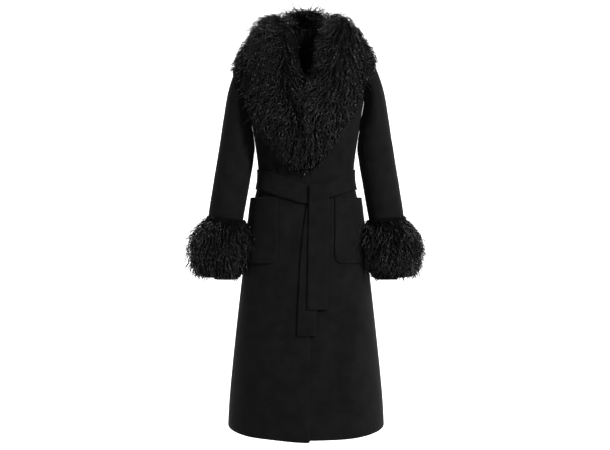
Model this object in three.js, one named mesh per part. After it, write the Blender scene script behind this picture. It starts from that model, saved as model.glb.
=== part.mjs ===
// A long belted wool coat with a fur shawl collar and fur cuffs, filled out as if worn.
// Millimetres. +Z is up, the front faces -Y, and +X is the wearer's left.
// The origin is level with the nape, midway between the shoulders that carry the coat.
import * as THREE from "three";
import { mergeGeometries } from "three/addons/utils/BufferGeometryUtils.js";

// ---- Driving dimensions ----
const WALL = 2.4; // felted wool cloth
const SEAM_GAP = 0.3;
const HEM = -1156; // back length
const UNDERARM = -225;
const YOKE = -70; // above this level the cloth rounds over the shoulder
const SHOULDER = 0; // level of the shoulder seam row
const TIP = { x: 160, z: -60 }; // outer end of the shoulder seam
const NECK = { x: 75, z: 2, back: 58 }; // inner end of the shoulder seam, and the nape's depth
const FRONT_BREAK = -430; // where the front edge turns into the neckline
const RIGHT_EDGE = -10; // the upper front's edge, past the centre line
const LEFT_EDGE = -50; // the under front's edge, past the centre line
const CORNER = { drop: 5, rise: 500, reach: 120 }; // the upper front's lower corner hangs lower
const UNDER = { inset: WALL + 1.6, from: 22, to: 60 }; // the under front lies inside the upper one
const FACING = { wall: 1.5, gap: 0.5, depth: -78 };
const POCKET = { inner: 78, outer: 0.965, top: -509, bottom: -690, radius: 21, lift: 1.2 };
const MOUTH = { depth: 60, flare: 8, power: 1.5 }; // a pocket's top stands open towards the side
const BELT = { thick: 3.4, lift: 1.6, width: 58, side: -455, back: -453, row: -480 };
const KNOT = { x: 36, left: 39, right: -33, lift: 4.5, near: 20, far: 75 };
const CUFF_SEAT = 0.8; // between the sleeve and the fur round it
const CUFF_CLEAR = 2.2; // between a cuff and a pocket's outer face
const COLLAR_SEAT = 2.6; // between the cloth and the fur over it
const NECK_SEAM = 0.7; // between the back neckline and the collar's edge above it
const COLLAR = { edge: 4, pile: 38 };
const CROWN = { square: 2.6, edge: 0.75, sleeve: 0.12, from: 0.12, to: 0.7 };
const RIGHT = -1;
const LEFT = 1;

// ---- Tables: one row for each section ----
// Level of the row, half width, depth in front of and behind the side seams, fullness of the curve.
const BODY = [
  { level: HEM, half: 226, front: 178, back: 182, full: 2.15 },
  { level: -1092, half: 223, front: 172, back: 176, full: 2.15 },
  { level: -947, half: 209, front: 158, back: 163, full: 2.2 },
  { level: -802, half: 193, front: 144, back: 150, full: 2.25 },
  { level: -660, half: 177, front: 131, back: 137, full: 2.3 },
  { level: -570, half: 165, front: 122, back: 126, full: 2.3 },
  { level: -498, half: 147, front: 113, back: 110, full: 2.25 },
  { level: -454, half: 138, front: 106, back: 98, full: 2.2 },
  { level: -420, half: 139, front: 105, back: 95, full: 2.2 },
  { level: -388, half: 142.5, front: 109, back: 97, full: 2.2 },
  { level: -340, half: 149.5, front: 118, back: 103, full: 2.25 },
  { level: -290, half: 158, front: 123, back: 107, full: 2.3 },
  { level: -250, half: 164, front: 124, back: 108, full: 2.3 },
  { level: UNDERARM, half: 168, front: 123, back: 108, full: 2.3 },
];

// Rows between the underarm and the yoke, from the centre to the armhole edge.
const FRONT_CHEST = [
  { level: -200, half: 165, edgeY: -28, edgeZ: -206, midY: -122, midZ: -200, full: 2.3, turn: 1.5 },
  { level: -160, half: 158, edgeY: -55, edgeZ: -165, midY: -120, midZ: -160, full: 2.3, turn: 1.15 },
  { level: -115, half: 154, edgeY: -59, edgeZ: -124, midY: -111, midZ: -117, full: 2.2, turn: 1 },
  { level: YOKE, half: 155, edgeY: -42, edgeZ: -90, midY: -92, midZ: -75, full: 2.2, turn: 1 },
];
const BACK_CHEST = [
  { level: -200, half: 166, edgeY: 28, edgeZ: -206, midY: 108, midZ: -200, full: 2.3, turn: 1.5 },
  { level: -160, half: 161, edgeY: 53, edgeZ: -165, midY: 108, midZ: -160, full: 2.3, turn: 1.2 },
  { level: -115, half: 158, edgeY: 58, edgeZ: -124, midY: 106, midZ: -115, full: 2.2, turn: 1.05 },
  { level: YOKE, half: 157, edgeY: 43, edgeZ: -90, midY: 98, midZ: -66, full: 2.2, turn: 1 },
];

// Soft folds in the cloth: where they run, how far they reach and how deep they are.
const FRONT_FOLDS = [
  { x: -84, top: -365, bottom: -450, width: 14, depth: -5 },
  { x: -108, top: -350, bottom: -432, width: 16, depth: 4 },
  { x: 86, top: -360, bottom: -450, width: 16, depth: -4 },
  { x: 112, top: -360, bottom: -432, width: 16, depth: 3 },
  { x: -60, top: -560, bottom: HEM, width: 46, depth: -4 },
  { x: -150, top: -720, bottom: HEM, width: 40, depth: 4 },
  { x: 60, top: -600, bottom: HEM, width: 42, depth: -4 },
  { x: 132, top: -700, bottom: HEM, width: 36, depth: 5 },
];
const BACK_FOLDS = [
  { x: -76, top: -365, bottom: -440, width: 18, depth: -4 },
  { x: 58, top: -370, bottom: -440, width: 16, depth: -4 },
  { x: -92, top: -560, bottom: HEM, width: 44, depth: -6 },
  { x: -20, top: -640, bottom: HEM, width: 40, depth: 4 },
  { x: 74, top: -580, bottom: HEM, width: 46, depth: -6 },
  { x: 150, top: -700, bottom: HEM, width: 38, depth: 4 },
];

// Sleeve sections down the arm: inner and outer side, centre depth, half depth, lift of the outer side.
const ARM = [
  { level: -242, inner: 165.5, outer: 230, y: -2, deep: 77, tilt: 20 },
  { level: -290, inner: 157.5, outer: 238, y: -6, deep: 74, tilt: 15 },
  { level: -340, inner: 150, outer: 246, y: -10, deep: 70, tilt: 12 },
  { level: -396, inner: 151, outer: 254.5, y: -15, deep: 66, tilt: 9 },
  { level: -454, inner: 160.5, outer: 263.5, y: -21, deep: 63, tilt: 8 },
  { level: -500, inner: 168, outer: 270.5, y: -26, deep: 60, tilt: 7 },
  { level: -556, inner: 177, outer: 278, y: -33, deep: 58, tilt: 6 },
  { level: -610, inner: 186, outer: 285, y: -39, deep: 56, tilt: 5 },
  { level: -670, inner: 194, outer: 291, y: -46, deep: 54, tilt: 4 },
  { level: -750, inner: 202, outer: 299, y: -54, deep: 53, tilt: 3 },
];

// Fur cuff: levels on the sleeve side and on the outside, and how far the fur stands off.
const CUFF = [
  { inside: -566, outside: -562, pile: 6 },
  { inside: -585, outside: -581, pile: 29 },
  { inside: -604, outside: -600, pile: 41 },
  { inside: -634, outside: -632, pile: 47 },
  { inside: -664, outside: -664, pile: 45 },
  { inside: -692, outside: -694, pile: 39 },
  { inside: -714, outside: -716, pile: 26 },
  { inside: -736, outside: -742, pile: 9 },
];

// The belt's front stretch on each side of the knot: where it leaves the knot and which way, its height
// and width there, and how far on it reaches its side height and its full width.
const BELT_RIGHT = { from: 10, way: -1, z: -507, width: 50, level: 145, widen: 90 };
const BELT_LEFT = { from: 60, way: 1, z: -493, width: 36, level: 78, widen: 74 };
const BAND_ROWS = [-0.5, -0.17, 0.17, 0.5];
const BAND_STEPS = 9; // places in each quarter of the way round
const TAIL_COLUMNS = [-1, -0.33, 0.33, 1];

// Collar ribs, from the front crossing to the centre back. Each runs from the roll edge to the outer
// edge; both ends are a direction round the neck in degrees (0 is the front) and a height. Where lean
// is 1 the pile starts on the neck's side and turns over the top; where it is 0 it stands straight off.
// crest is how full the roll is. The left half is narrower: its outer edge lies higher by short.
const COLLAR_RIBS = [
  { rollAngle: 0, rollZ: -176, edgeAngle: 0, edgeZ: -449, lean: 0, crest: 1.1, short: 0 },
  { rollAngle: 2, rollZ: -165, edgeAngle: 11, edgeZ: -439, lean: 0, crest: 1.1, short: 14 },
  { rollAngle: 3, rollZ: -150, edgeAngle: 20, edgeZ: -397, lean: 0, crest: 1.1, short: 31 },
  { rollAngle: 3.5, rollZ: -130, edgeAngle: 28, edgeZ: -361, lean: 0, crest: 1.1, short: 43 },
  { rollAngle: 4, rollZ: -110, edgeAngle: 37, edgeZ: -334, lean: 0, crest: 1.1, short: 53 },
  { rollAngle: 5, rollZ: -88, edgeAngle: 46, edgeZ: -306, lean: 0, crest: 1.1, short: 62 },
  { rollAngle: 9, rollZ: -66, edgeAngle: 51, edgeZ: -270, lean: 0.1, crest: 1.15, short: 64 },
  { rollAngle: 17, rollZ: -48, edgeAngle: 52.5, edgeZ: -233, lean: 0.3, crest: 1.2, short: 50 },
  { rollAngle: 34, rollZ: -32, edgeAngle: 57.5, edgeZ: -186, lean: 0.6, crest: 1.25, short: 38 },
  { rollAngle: 54, rollZ: -12, edgeAngle: 74, edgeZ: -140, lean: 0.85, crest: 1.25, short: 18 },
  { rollAngle: 72, rollZ: 1, edgeAngle: 90, edgeZ: -118, lean: 1, crest: 1.2, short: 4 },
  { rollAngle: 90, rollZ: 5, edgeAngle: 106, edgeZ: -115, lean: 1, crest: 1.25, short: 0 },
  { rollAngle: 108, rollZ: 11, edgeAngle: 120, edgeZ: -122, lean: 1, crest: 1.35, short: 0 },
  { rollAngle: 126, rollZ: 17, edgeAngle: 135, edgeZ: -136, lean: 1, crest: 1.5, short: 0 },
  { rollAngle: 144, rollZ: 21, edgeAngle: 150, edgeZ: -150, lean: 1, crest: 1.6, short: 0 },
  { rollAngle: 162, rollZ: 23, edgeAngle: 165, edgeZ: -158, lean: 1, crest: 1.65, short: 0 },
  { rollAngle: 180, rollZ: 24, edgeAngle: 180, edgeZ: -160, lean: 1, crest: 1.65, short: 0 },
];
const CORE = 115; // half length of the line across the body that the collar is laid round
const LOOK = 60; // height over the cloth from which the collar's seat is measured
const COLLAR_COUNT = 29; // ribs built from the table
const COLLAR_STEPS = [0, 0.03, 0.07, 0.12, 0.18, 0.26, 0.36, 0.48, 0.6, 0.72, 0.84, 0.94, 1];
const ROLL_TURN = 0.36; // share of the rib over which leaning pile turns outwards
const ROLL_START = -0.25; // radians above the neck's side that leaning pile starts at
const PILE_STEP = 4; // columns on each side that set the way the pile stands

// Hanging belt ends: height of the row, its middle, its half width, and how far off the skirt it lies.
const FRONT_TAIL = [
  { z: -812, x: 30.5, half: 27.5, off: 6.2 },
  { z: -720, x: 32, half: 27.5, off: 6.2 },
  { z: -640, x: 33, half: 27.5, off: 6.2 },
  { z: -575, x: 34.5, half: 27.5, off: 6.6 },
  { z: -535, x: 35, half: 27.5, off: 9 },
  { z: -505, x: 35.5, half: 27.5, off: 13 },
  { z: -485, x: 36, half: 27.5, off: 14 },
  { z: -474.5, x: 36.2, half: 27.5, off: 11.5 },
];
const BACK_TAIL = [
  { z: -882, x: 1, half: 26, off: 1.2 },
  { z: -783, x: 5, half: 26, off: 1.2 },
  { z: -688, x: 10, half: 26.5, off: 1.2 },
  { z: -611, x: 18, half: 27, off: 1.2 },
  { z: -560, x: 25, half: 27, off: 1.8 },
  { z: -538, x: 28, half: 27, off: 3 },
];

const LOWER_LEVELS = [
  HEM, -1092, -1020, -947, -875, -802, -730, -660, -614, -570, -534, -498, -470, -445, -420, -396,
  -368, -335, -300, -262, UNDERARM,
];
const ARMHOLE_LEVELS = [UNDERARM, -210, -192, -165, -140, -115, -92, YOKE, -44, -20, SHOULDER];
const PANEL_COLUMNS = 10;
const NECK_COLUMNS = 4; // of a back half, from the centre to the shoulder seam's inner end
const BACK_COLUMNS = 7; // of a back half, from there to the side
const CAP_RINGS = 6;
const CAP = { slopeUp: -0.28, slopeDown: -0.2, leave: 0.33, arrive: 0.95, gap: 2.4 * SEAM_GAP };
const CUFF_COUNT = 28; // places round a cuff
const POCKET_COLUMNS = 8;
const POCKET_ROWS = 6; // above the rounded corners
const DRAPE = { columns: 27, overlap: -0.3 }; // grid of the form that the collar lies on
const FOLD_FADE = 60; // over which a fold runs out at its ends
const NECK_EASE = { inside: 30, outside: 20 }; // round the shoulder seam's inner end
const NUDGE = { share: 0.004, level: 0.5 }; // steps that the normals are taken over
const ARM_LEVELS = [-242, -272, -305, -340, -380, -425, -475, -525, -580, -635, -685, -730];
const UNDER_SLEEVE = 3; // armhole rows on each side of the underarm that the under sleeve takes
const SLEEVE_SEAMS = { front: 135, back: 125 }; // degrees round the arm from its outer side

const WOOL = { color: 0x16161a, roughness: 0.95, metalness: 0 };
const FUR = { color: 0x0b0b0d, roughness: 0.8, metalness: 0 };

// ---- Small helpers ----
const mix = (a, b, f) => (f === 1 ? b : a + (b - a) * f);
const clamp = (v, low, high) => Math.min(high, Math.max(low, v));
const vec = (x, y, z) => new THREE.Vector3(x, y, z);

function smoothStep(low, high, v) {
  const f = clamp((v - low) / (high - low), 0, 1);
  return f * f * (3 - 2 * f);
}

// A table's columns at any level, on smooth curves through its rows.
function sample(table, key, at) {
  const rising = table[0][key] < table[table.length - 1][key];
  const rows = rising ? table : [...table].reverse();
  let i = 1;
  while (i < rows.length - 1 && rows[i][key] < at) i += 1;
  const before = rows[Math.max(0, i - 2)];
  const low = rows[i - 1];
  const high = rows[i];
  const after = rows[Math.min(rows.length - 1, i + 1)];
  const span = high[key] - low[key];
  const f = (at - low[key]) / span;
  const result = {};
  for (const name of Object.keys(low)) {
    const slopeLow = (span * (high[name] - before[name])) / (high[key] - before[key]);
    const slopeHigh = (span * (after[name] - low[name])) / (after[key] - low[key]);
    const f2 = f * f;
    const f3 = f2 * f;
    const ends = low[name] * (2 * f3 - 3 * f2 + 1) + high[name] * (3 * f2 - 2 * f3);
    result[name] = ends + slopeLow * (f3 - 2 * f2 + f) + slopeHigh * (f3 - f2);
  }
  return result;
}

// ---- Closed solids from grids of points ----
// The outer and inner grids have the same rows and columns. A ring's columns join up.
function shellGeometry(outer, inner, ring = false) {
  const rows = outer.length;
  const columns = outer[0].length;
  const points = [...outer.flat(), ...inner.flat()];
  const at = (layer, r, c) => layer * rows * columns + r * columns + (c % columns);
  const index = [];
  const quad = (a, b, c, d) => index.push(a, b, c, a, c, d);
  const last = ring ? columns : columns - 1;
  for (let r = 0; r < rows - 1; r += 1) {
    for (let c = 0; c < last; c += 1) {
      quad(at(0, r, c), at(0, r, c + 1), at(0, r + 1, c + 1), at(0, r + 1, c));
      quad(at(1, r, c), at(1, r + 1, c), at(1, r + 1, c + 1), at(1, r, c + 1));
    }
  }
  for (let c = 0; c < last; c += 1) {
    quad(at(0, 0, c), at(1, 0, c), at(1, 0, c + 1), at(0, 0, c + 1));
    quad(at(0, rows - 1, c), at(0, rows - 1, c + 1), at(1, rows - 1, c + 1), at(1, rows - 1, c));
  }
  for (let r = 0; r < rows - 1 && !ring; r += 1) {
    quad(at(0, r, 0), at(0, r + 1, 0), at(1, r + 1, 0), at(1, r, 0));
    const c = columns - 1;
    quad(at(0, r, c), at(1, r, c), at(1, r + 1, c), at(0, r + 1, c));
  }
  return outwardGeometry(points, index);
}

// A geometry whose faces point out, whichever way its grid ran.
function outwardGeometry(points, index) {
  let volume = 0;
  for (let i = 0; i < index.length; i += 3) {
    const [a, b, c] = index.slice(i, i + 3).map((n) => points[n]);
    volume += a.dot(vec(0, 0, 0).crossVectors(b, c));
  }
  const faces = volume < 0 ? [...index].reverse() : index;
  const geometry = new THREE.BufferGeometry();
  geometry.setFromPoints(points);
  geometry.setIndex(faces);
  geometry.computeVertexNormals();
  return geometry;
}

// Moves a grid's first or last column or row along the cloth, to leave half a seam's gap.
function parted(grid, edges) {
  const result = grid.map((row) => row.map((p) => p.clone()));
  const shift = (p, towards) => {
    const step = towards.clone().sub(p).normalize().multiplyScalar(SEAM_GAP / 2);
    p.add(step);
  };
  const last = grid.length - 1;
  const end = grid[0].length - 1;
  if (edges.first) result.forEach((row, r) => shift(row[0], grid[r][1]));
  if (edges.last) result.forEach((row, r) => shift(row[end], grid[r][end - 1]));
  if (edges.top) result[last].forEach((p, c) => shift(p, grid[last - 1][c]));
  return result;
}

// The normals of a grid of points, from its neighbours.
function gridNormals(grid, outwards, ring = false) {
  const rows = grid.length;
  const columns = grid[0].length;
  const pick = (r, c) => {
    const column = ring ? (c + columns) % columns : clamp(c, 0, columns - 1);
    return grid[clamp(r, 0, rows - 1)][column];
  };
  return grid.map((row, r) =>
    row.map((p, c) => {
      const across = pick(r, c + 1).clone().sub(pick(r, c - 1));
      const along = pick(r + 1, c).clone().sub(pick(r - 1, c));
      const normal = across.cross(along).normalize();
      return normal.multiplyScalar(outwards);
    }),
  );
}

function offsetGrid(grid, normals, distance) {
  return grid.map((row, r) => row.map((p, c) => p.clone().addScaledVector(normals[r][c], distance)));
}

const mirrored = (grid, side) => grid.map((row) => row.map((p) => vec(p.x * side, p.y, p.z)));

// ---- The body surface ----
// face is -1 for the front and 1 for the back; s runs from the centre line (0) to the side (1).
function bodySection(face, level) {
  const lower = BODY.map((row) => {
    const depth = face * (face < 0 ? row.front : row.back);
    const at = row.level;
    const full = row.full;
    return { level: at, half: row.half, edgeY: 0, edgeZ: at, midY: depth, midZ: at, full, turn: full };
  });
  return sample([...lower, ...(face < 0 ? FRONT_CHEST : BACK_CHEST)], "level", level);
}

// The neckline and the shoulder seam, which close the body at the top.
function topPoint(face, s) {
  const x = TIP.x * Math.sin((s * Math.PI) / 2);
  const slope = (NECK.z - TIP.z) / (TIP.x - NECK.x);
  const reach = Math.abs(x) / NECK.x;
  if (face < 0 || reach >= 1) return vec(x, 0, NECK.z - slope * (Math.abs(x) - NECK.x));
  return vec(x, NECK.back * Math.sqrt(1 - reach * reach), NECK.z * reach * reach);
}

function sectionPoint(face, s, level) {
  const row = bodySection(face, level);
  const q = Math.sin((s * Math.PI) / 2);
  const rise = Math.max(0, 1 - Math.abs(q) ** row.full) ** (1 / row.turn);
  return vec(row.half * q, mix(row.edgeY, row.midY, rise), mix(row.edgeZ, row.midZ, rise));
}

function basePoint(face, s, level) {
  if (level <= YOKE) return sectionPoint(face, s, level);
  const low = sectionPoint(face, s, YOKE);
  const top = topPoint(face, s);
  const w = (level - YOKE) / (SHOULDER - YOKE);
  const round = smoothStep(NECK.x - NECK_EASE.inside, NECK.x + NECK_EASE.outside, Math.abs(top.x));
  const deep = mix(w, 1 - Math.cos((w * Math.PI) / 2), round);
  const high = mix(w, Math.sin((w * Math.PI) / 2), round);
  return vec(mix(low.x, top.x, w), mix(low.y, top.y, deep), mix(low.z, top.z, high));
}

function baseNormal(face, s, level) {
  const ds = s > 1 - 2 * NUDGE.share ? -NUDGE.share : NUDGE.share;
  const dl = level > SHOULDER - 2 * NUDGE.level ? -NUDGE.level : NUDGE.level;
  const here = basePoint(face, s, level);
  const across = basePoint(face, s + ds, level).sub(here).multiplyScalar(Math.sign(ds));
  const along = basePoint(face, s, level + dl).sub(here).multiplyScalar(Math.sign(dl));
  const normal = across.cross(along).multiplyScalar(-face);
  const atSide = s === 1 && level <= UNDERARM;
  if (atSide || level === SHOULDER) normal.y = 0;
  if (s === 0) normal.x = 0;
  return normal.normalize();
}

// How far the folds push the cloth out, at a place on the front or back.
function relief(folds, x, z) {
  let total = 0;
  for (const fold of folds) {
    const across = Math.exp(-(((x - fold.x) / fold.width) ** 2));
    const fade = Math.min(FOLD_FADE, (fold.top - fold.bottom) / 2);
    const upper = smoothStep(fold.top, fold.top - fade, z);
    const lower = fold.bottom === HEM ? 1 : smoothStep(fold.bottom, fold.bottom + fade, z);
    total += fold.depth * across * upper * lower;
  }
  return total;
}

// A point of the body at a distance outside the cloth's outer face, on one side of the wearer.
function bodyPoint(face, side, s, level, out = 0) {
  const p = basePoint(face, s, level);
  const seam = 1 - smoothStep(0.86, 0.98, Math.abs(s));
  const fold = relief(face < 0 ? FRONT_FOLDS : BACK_FOLDS, p.x * side, p.z) * seam;
  p.addScaledVector(baseNormal(face, s, level), out + fold);
  return p;
}

const shareAt = (face, level, x) => {
  const low = bodySection(face, Math.min(level, YOKE)).half;
  const w = clamp((level - YOKE) / (SHOULDER - YOKE), 0, 1);
  return (2 / Math.PI) * Math.asin(clamp(x / mix(low, TIP.x, w), -1, 1));
};

// ---- Fronts, backs and facing ----
const PANEL_LEVELS = [...LOWER_LEVELS, ...ARMHOLE_LEVELS.slice(1)];

function frontEdge(level, edge) {
  const up = clamp((level - FRONT_BREAK) / (SHOULDER - FRONT_BREAK), 0, 1);
  return mix(edge, NECK.x, up);
}

function frontPanel(side, edge, under) {
  const layer = (depth) =>
    PANEL_LEVELS.map((level) => {
      const first = shareAt(-1, level, frontEdge(level, edge));
      return Array.from({ length: PANEL_COLUMNS + 1 }, (_, c) => {
        const s = mix(first, 1, c / PANEL_COLUMNS);
        const x = basePoint(-1, s, level).x;
        const inset = under ? UNDER.inset * (1 - smoothStep(UNDER.from, UNDER.to, x)) : 0;
        const p = bodyPoint(-1, side, s, level, -inset - depth);
        const low = smoothStep(HEM + CORNER.rise, HEM, level) * (1 - smoothStep(0, CORNER.reach, x));
        p.z -= under ? 0 : CORNER.drop * low;
        return p;
      });
    });
  const edges = { last: true, top: true };
  return mirroredShell(parted(layer(0), edges), parted(layer(WALL), edges), side);
}

// Columns that divide the curve of the back neckline evenly.
function backNeckShares() {
  const places = Array.from({ length: NECK_COLUMNS + 1 }, (_, k) => (k * Math.PI) / 2 / NECK_COLUMNS);
  return places.map((a) => shareAt(1, SHOULDER, NECK.x * Math.sin(a)));
}

function backPanel(side) {
  const neck = backNeckShares();
  const rest = Array.from({ length: BACK_COLUMNS }, (_, c) => (c + 1) / BACK_COLUMNS);
  const shares = [...neck, ...rest.map((f) => mix(neck[NECK_COLUMNS], 1, f))];
  const layer = (depth) =>
    PANEL_LEVELS.map((level) => shares.map((s) => bodyPoint(1, side, s, level, -depth)));
  const edges = { first: true, last: true, top: true };
  return mirroredShell(parted(layer(0), edges), parted(layer(WALL), edges), side);
}

const mirroredShell = (outer, inner, side, ring = false) =>
  shellGeometry(mirrored(outer, side), mirrored(inner, side), ring);

function neckFacing(side) {
  const levels = [FACING.depth, ...ARMHOLE_LEVELS.filter((level) => level >= YOKE)];
  const layer = (depth) =>
    levels.map((level) => backNeckShares().map((s) => bodyPoint(1, side, s, level, -depth)));
  const outside = WALL + FACING.gap;
  const edges = { first: true };
  return mirroredShell(parted(layer(outside), edges), parted(layer(outside + FACING.wall), edges), side);
}

// ---- Sleeves ----
const LOOP = 2 * (ARMHOLE_LEVELS.length - 1); // places round the armhole, from the underarm forwards

// The angle round the arm of each place: 0 is the outer side, 180 the inner, front is negative.
function sleeveAngle(i) {
  const front = i <= LOOP / 2;
  const n = front ? i : LOOP - i;
  const seam = front ? SLEEVE_SEAMS.front : SLEEVE_SEAMS.back;
  const under = n <= UNDER_SLEEVE;
  const upper = (n - UNDER_SLEEVE) / (LOOP / 2 - UNDER_SLEEVE);
  const degrees = under ? mix(180, seam, n / UNDER_SLEEVE) : mix(seam, 0, upper);
  return THREE.MathUtils.degToRad(front ? -degrees : degrees);
}

function armPoint(angle, level, grow = 0) {
  const row = sample(ARM, "level", level);
  const half = (row.outer - row.inner) / 2 + grow;
  const x = (row.outer + row.inner) / 2 + half * Math.cos(angle);
  return vec(x, row.y + (row.deep + grow) * Math.sin(angle), level + row.tilt * Math.cos(angle));
}

function armholePoint(i) {
  const front = i <= LOOP / 2;
  const level = ARMHOLE_LEVELS[front ? i : LOOP - i];
  return basePoint(front ? -1 : 1, 1, level);
}

// The sleeve cap: smooth curves from the armhole to the first section of the arm.
function capPoint(i, v) {
  const angle = sleeveAngle(i);
  const start = armholePoint(i);
  const end = armPoint(angle, ARM_LEVELS[0]);
  const tip = Math.cos(angle);
  const leave = vec(1, 0, tip * (tip > 0 ? CAP.slopeUp : CAP.slopeDown)).normalize();
  start.addScaledVector(leave, CAP.gap);
  const span = start.distanceTo(end);
  const arrive = armPoint(angle, ARM_LEVELS[1]).sub(end).normalize();
  const v2 = v * v;
  const v3 = v2 * v;
  return vec(0, 0, 0)
    .addScaledVector(start, 2 * v3 - 3 * v2 + 1)
    .addScaledVector(leave, CAP.leave * span * (v3 - 2 * v2 + v))
    .addScaledVector(end, 3 * v2 - 2 * v3)
    .addScaledVector(arrive, CAP.arrive * span * (v3 - v2));
}

function sleeveGrid() {
  const places = Array.from({ length: LOOP }, (_, i) => i);
  const cap = Array.from({ length: CAP_RINGS }, (_, r) => places.map((i) => capPoint(i, r / CAP_RINGS)));
  const arm = ARM_LEVELS.map((level) => places.map((i) => armPoint(sleeveAngle(i), level)));
  return [...cap, ...arm];
}

// The upper sleeve runs over the top of the arm, the under sleeve past the underarm.
function sleevePanel(side, under) {
  const outer = sleeveGrid();
  const inner = offsetGrid(outer, gridNormals(outer, -1, true), -WALL);
  const first = under ? LOOP - UNDER_SLEEVE : UNDER_SLEEVE;
  const count = under ? 2 * UNDER_SLEEVE : LOOP - 2 * UNDER_SLEEVE;
  const cut = (grid) => {
    const rows = grid.map((row) => Array.from({ length: count + 1 }, (_, c) => row[(first + c) % LOOP]));
    return parted(rows, { first: true, last: true });
  };
  return mirroredShell(cut(outer), cut(inner), side);
}

// ---- Fur ----
// The skirt's half width at a depth and height, which the fur is pressed against.
function skirtReach(y, z) {
  const row = bodySection(y < 0 ? -1 : 1, z);
  const q = clamp(Math.abs(y / row.midY), 0, 1);
  return row.half * (1 - q ** row.full) ** (1 / row.full);
}

function furCuff(side) {
  const angles = Array.from({ length: CUFF_COUNT }, (_, i) => (i * 2 * Math.PI) / CUFF_COUNT);
  const clear = POCKET.lift + WALL + CUFF_CLEAR;
  const inner = CUFF.map((row) => angles.map((a) => armPoint(a, row.inside, CUFF_SEAT)));
  const outer = CUFF.map((row) =>
    angles.map((a) => {
      const p = armPoint(a, row.outside, row.pile);
      p.x = Math.max(p.x, skirtReach(p.y, p.z) + clear);
      return p;
    }),
  );
  return mirroredShell(outer, inner, side, true);
}

// The surfaces that the collar lies on: body and sleeve caps of the wearer's left side.
function drapeForm() {
  const steps = DRAPE.columns - 1;
  const shares = Array.from({ length: DRAPE.columns }, (_, i) => mix(DRAPE.overlap, 1, i / steps));
  const half = (face) => PANEL_LEVELS.map((level) => shares.map((s) => bodyPoint(face, 1, s, level)));
  const sleeve = sleeveGrid().map((row) => [...row, row[0]]);
  const sheets = [half(-1), half(1), sleeve].map((grid) => shellGeometry(grid, grid));
  return new THREE.Mesh(mergeGeometries(sheets), new THREE.MeshBasicMaterial({ side: THREE.DoubleSide }));
}

const FAR = 900;
const ray = new THREE.Raycaster();

// The outermost cloth in a direction round the neck and at a height, or the neck where there is none.
// The directions spread from a line across the body, which is longer lower down.
function drapePoint(form, degrees, z) {
  const a = THREE.MathUtils.degToRad(degrees);
  const out = vec(Math.sin(a), -Math.cos(a), 0);
  const core = vec(CORE * smoothStep(20, -140, z) * out.x, 0, z);
  ray.set(core.clone().addScaledVector(out, FAR), out.clone().negate());
  ray.far = FAR;
  const hit = ray.intersectObject(form)[0];
  const neck = 1 / Math.hypot(Math.sin(a) / NECK.x, Math.cos(a) / (NECK.back + 4));
  const reach = Math.max(neck, hit ? FAR - hit.distance : 0);
  return core.addScaledVector(out, reach + COLLAR_SEAT);
}

// Evens out a sheet: each point moves towards its neighbours, and the border only along itself.
function relaxed(grid, passes) {
  let sheet = grid;
  const rows = grid.length - 1;
  const columns = grid[0].length - 1;
  const middle = (a, b) => a.clone().add(b).multiplyScalar(0.5);
  for (let pass = 0; pass < passes; pass += 1) {
    const from = sheet;
    sheet = from.map((rib, r) =>
      rib.map((p, c) => {
        const around = [];
        if (r > 0 && r < rows) around.push(middle(from[r - 1][c], from[r + 1][c]));
        if (c > 0 && c < columns) around.push(middle(rib[c - 1], rib[c + 1]));
        const goal = around.reduce((sum, q) => sum.addScaledVector(q, 1 / around.length), vec(0, 0, 0));
        return around.length ? p.clone().lerp(goal, 0.5) : p.clone();
      }),
    );
  }
  return sheet;
}

// Lifts a sheet along its own directions until each facet is clear of the cloth under it.
function settled(grid, directions, form) {
  const spots = [[0.5, 0.5], [0.5, 0], [0, 0.5], [0.5, 1], [0.25, 0.75], [0.75, 0.25]];
  const lifts = (r, c, [u, v]) => {
    const corners = [[0, 0, (1 - u) * (1 - v)], [0, 1, (1 - u) * v], [1, 0, u * (1 - v)], [1, 1, u * v]];
    const spot = vec(0, 0, 0);
    corners.forEach(([dr, dc, share]) => spot.addScaledVector(grid[r + dr][c + dc], share));
    const out = directions[r][c];
    ray.set(spot.addScaledVector(out, LOOK), out.clone().negate());
    ray.far = LOOK + COLLAR_SEAT;
    const hit = ray.intersectObject(form)[0];
    const lift = hit ? LOOK + COLLAR_SEAT - hit.distance : 0;
    corners.forEach(([dr, dc]) => grid[r + dr][c + dc].addScaledVector(directions[r + dr][c + dc], lift));
  };
  for (let pass = 0; pass < 4; pass += 1) {
    for (let r = 0; r < grid.length - 1; r += 1) {
      for (let c = 0; c < grid[0].length - 1; c += 1) spots.forEach((spot) => lifts(r, c, spot));
    }
  }
  return grid;
}

function collarRibs(side) {
  const up = side === LEFT ? 1 : 0;
  const table = COLLAR_RIBS.map((rib, n) => ({ n, ...rib, edgeZ: rib.edgeZ + up * rib.short }));
  const step = (table.length - 1) / (COLLAR_COUNT - 1);
  return Array.from({ length: COLLAR_COUNT }, (_, k) => sample(table, "n", k * step));
}

function collarUnderside(ribs, form) {
  return ribs.map((rib) =>
    COLLAR_STEPS.map((f) => {
      const angle = mix(rib.rollAngle, rib.edgeAngle, f);
      const down = f ** (1 + 0.5 * clamp(rib.lean, 0, 1));
      return drapePoint(form, angle, mix(rib.rollZ, rib.edgeZ, down));
    }),
  );
}

// Brings the collar's inner edge down on to the back neckline, where it is sewn on.
function sewn(grid, ribs) {
  return grid.map((line, r) => {
    const a = THREE.MathUtils.degToRad(ribs[r].rollAngle);
    if (a <= Math.PI / 2) return line;
    const x = NECK.x * Math.sin(a);
    const y = -NECK.back * Math.cos(a);
    return [vec(x, y, NECK.z * Math.sin(a) ** 2 + NECK_SEAM), ...line.slice(1)];
  });
}

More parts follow.
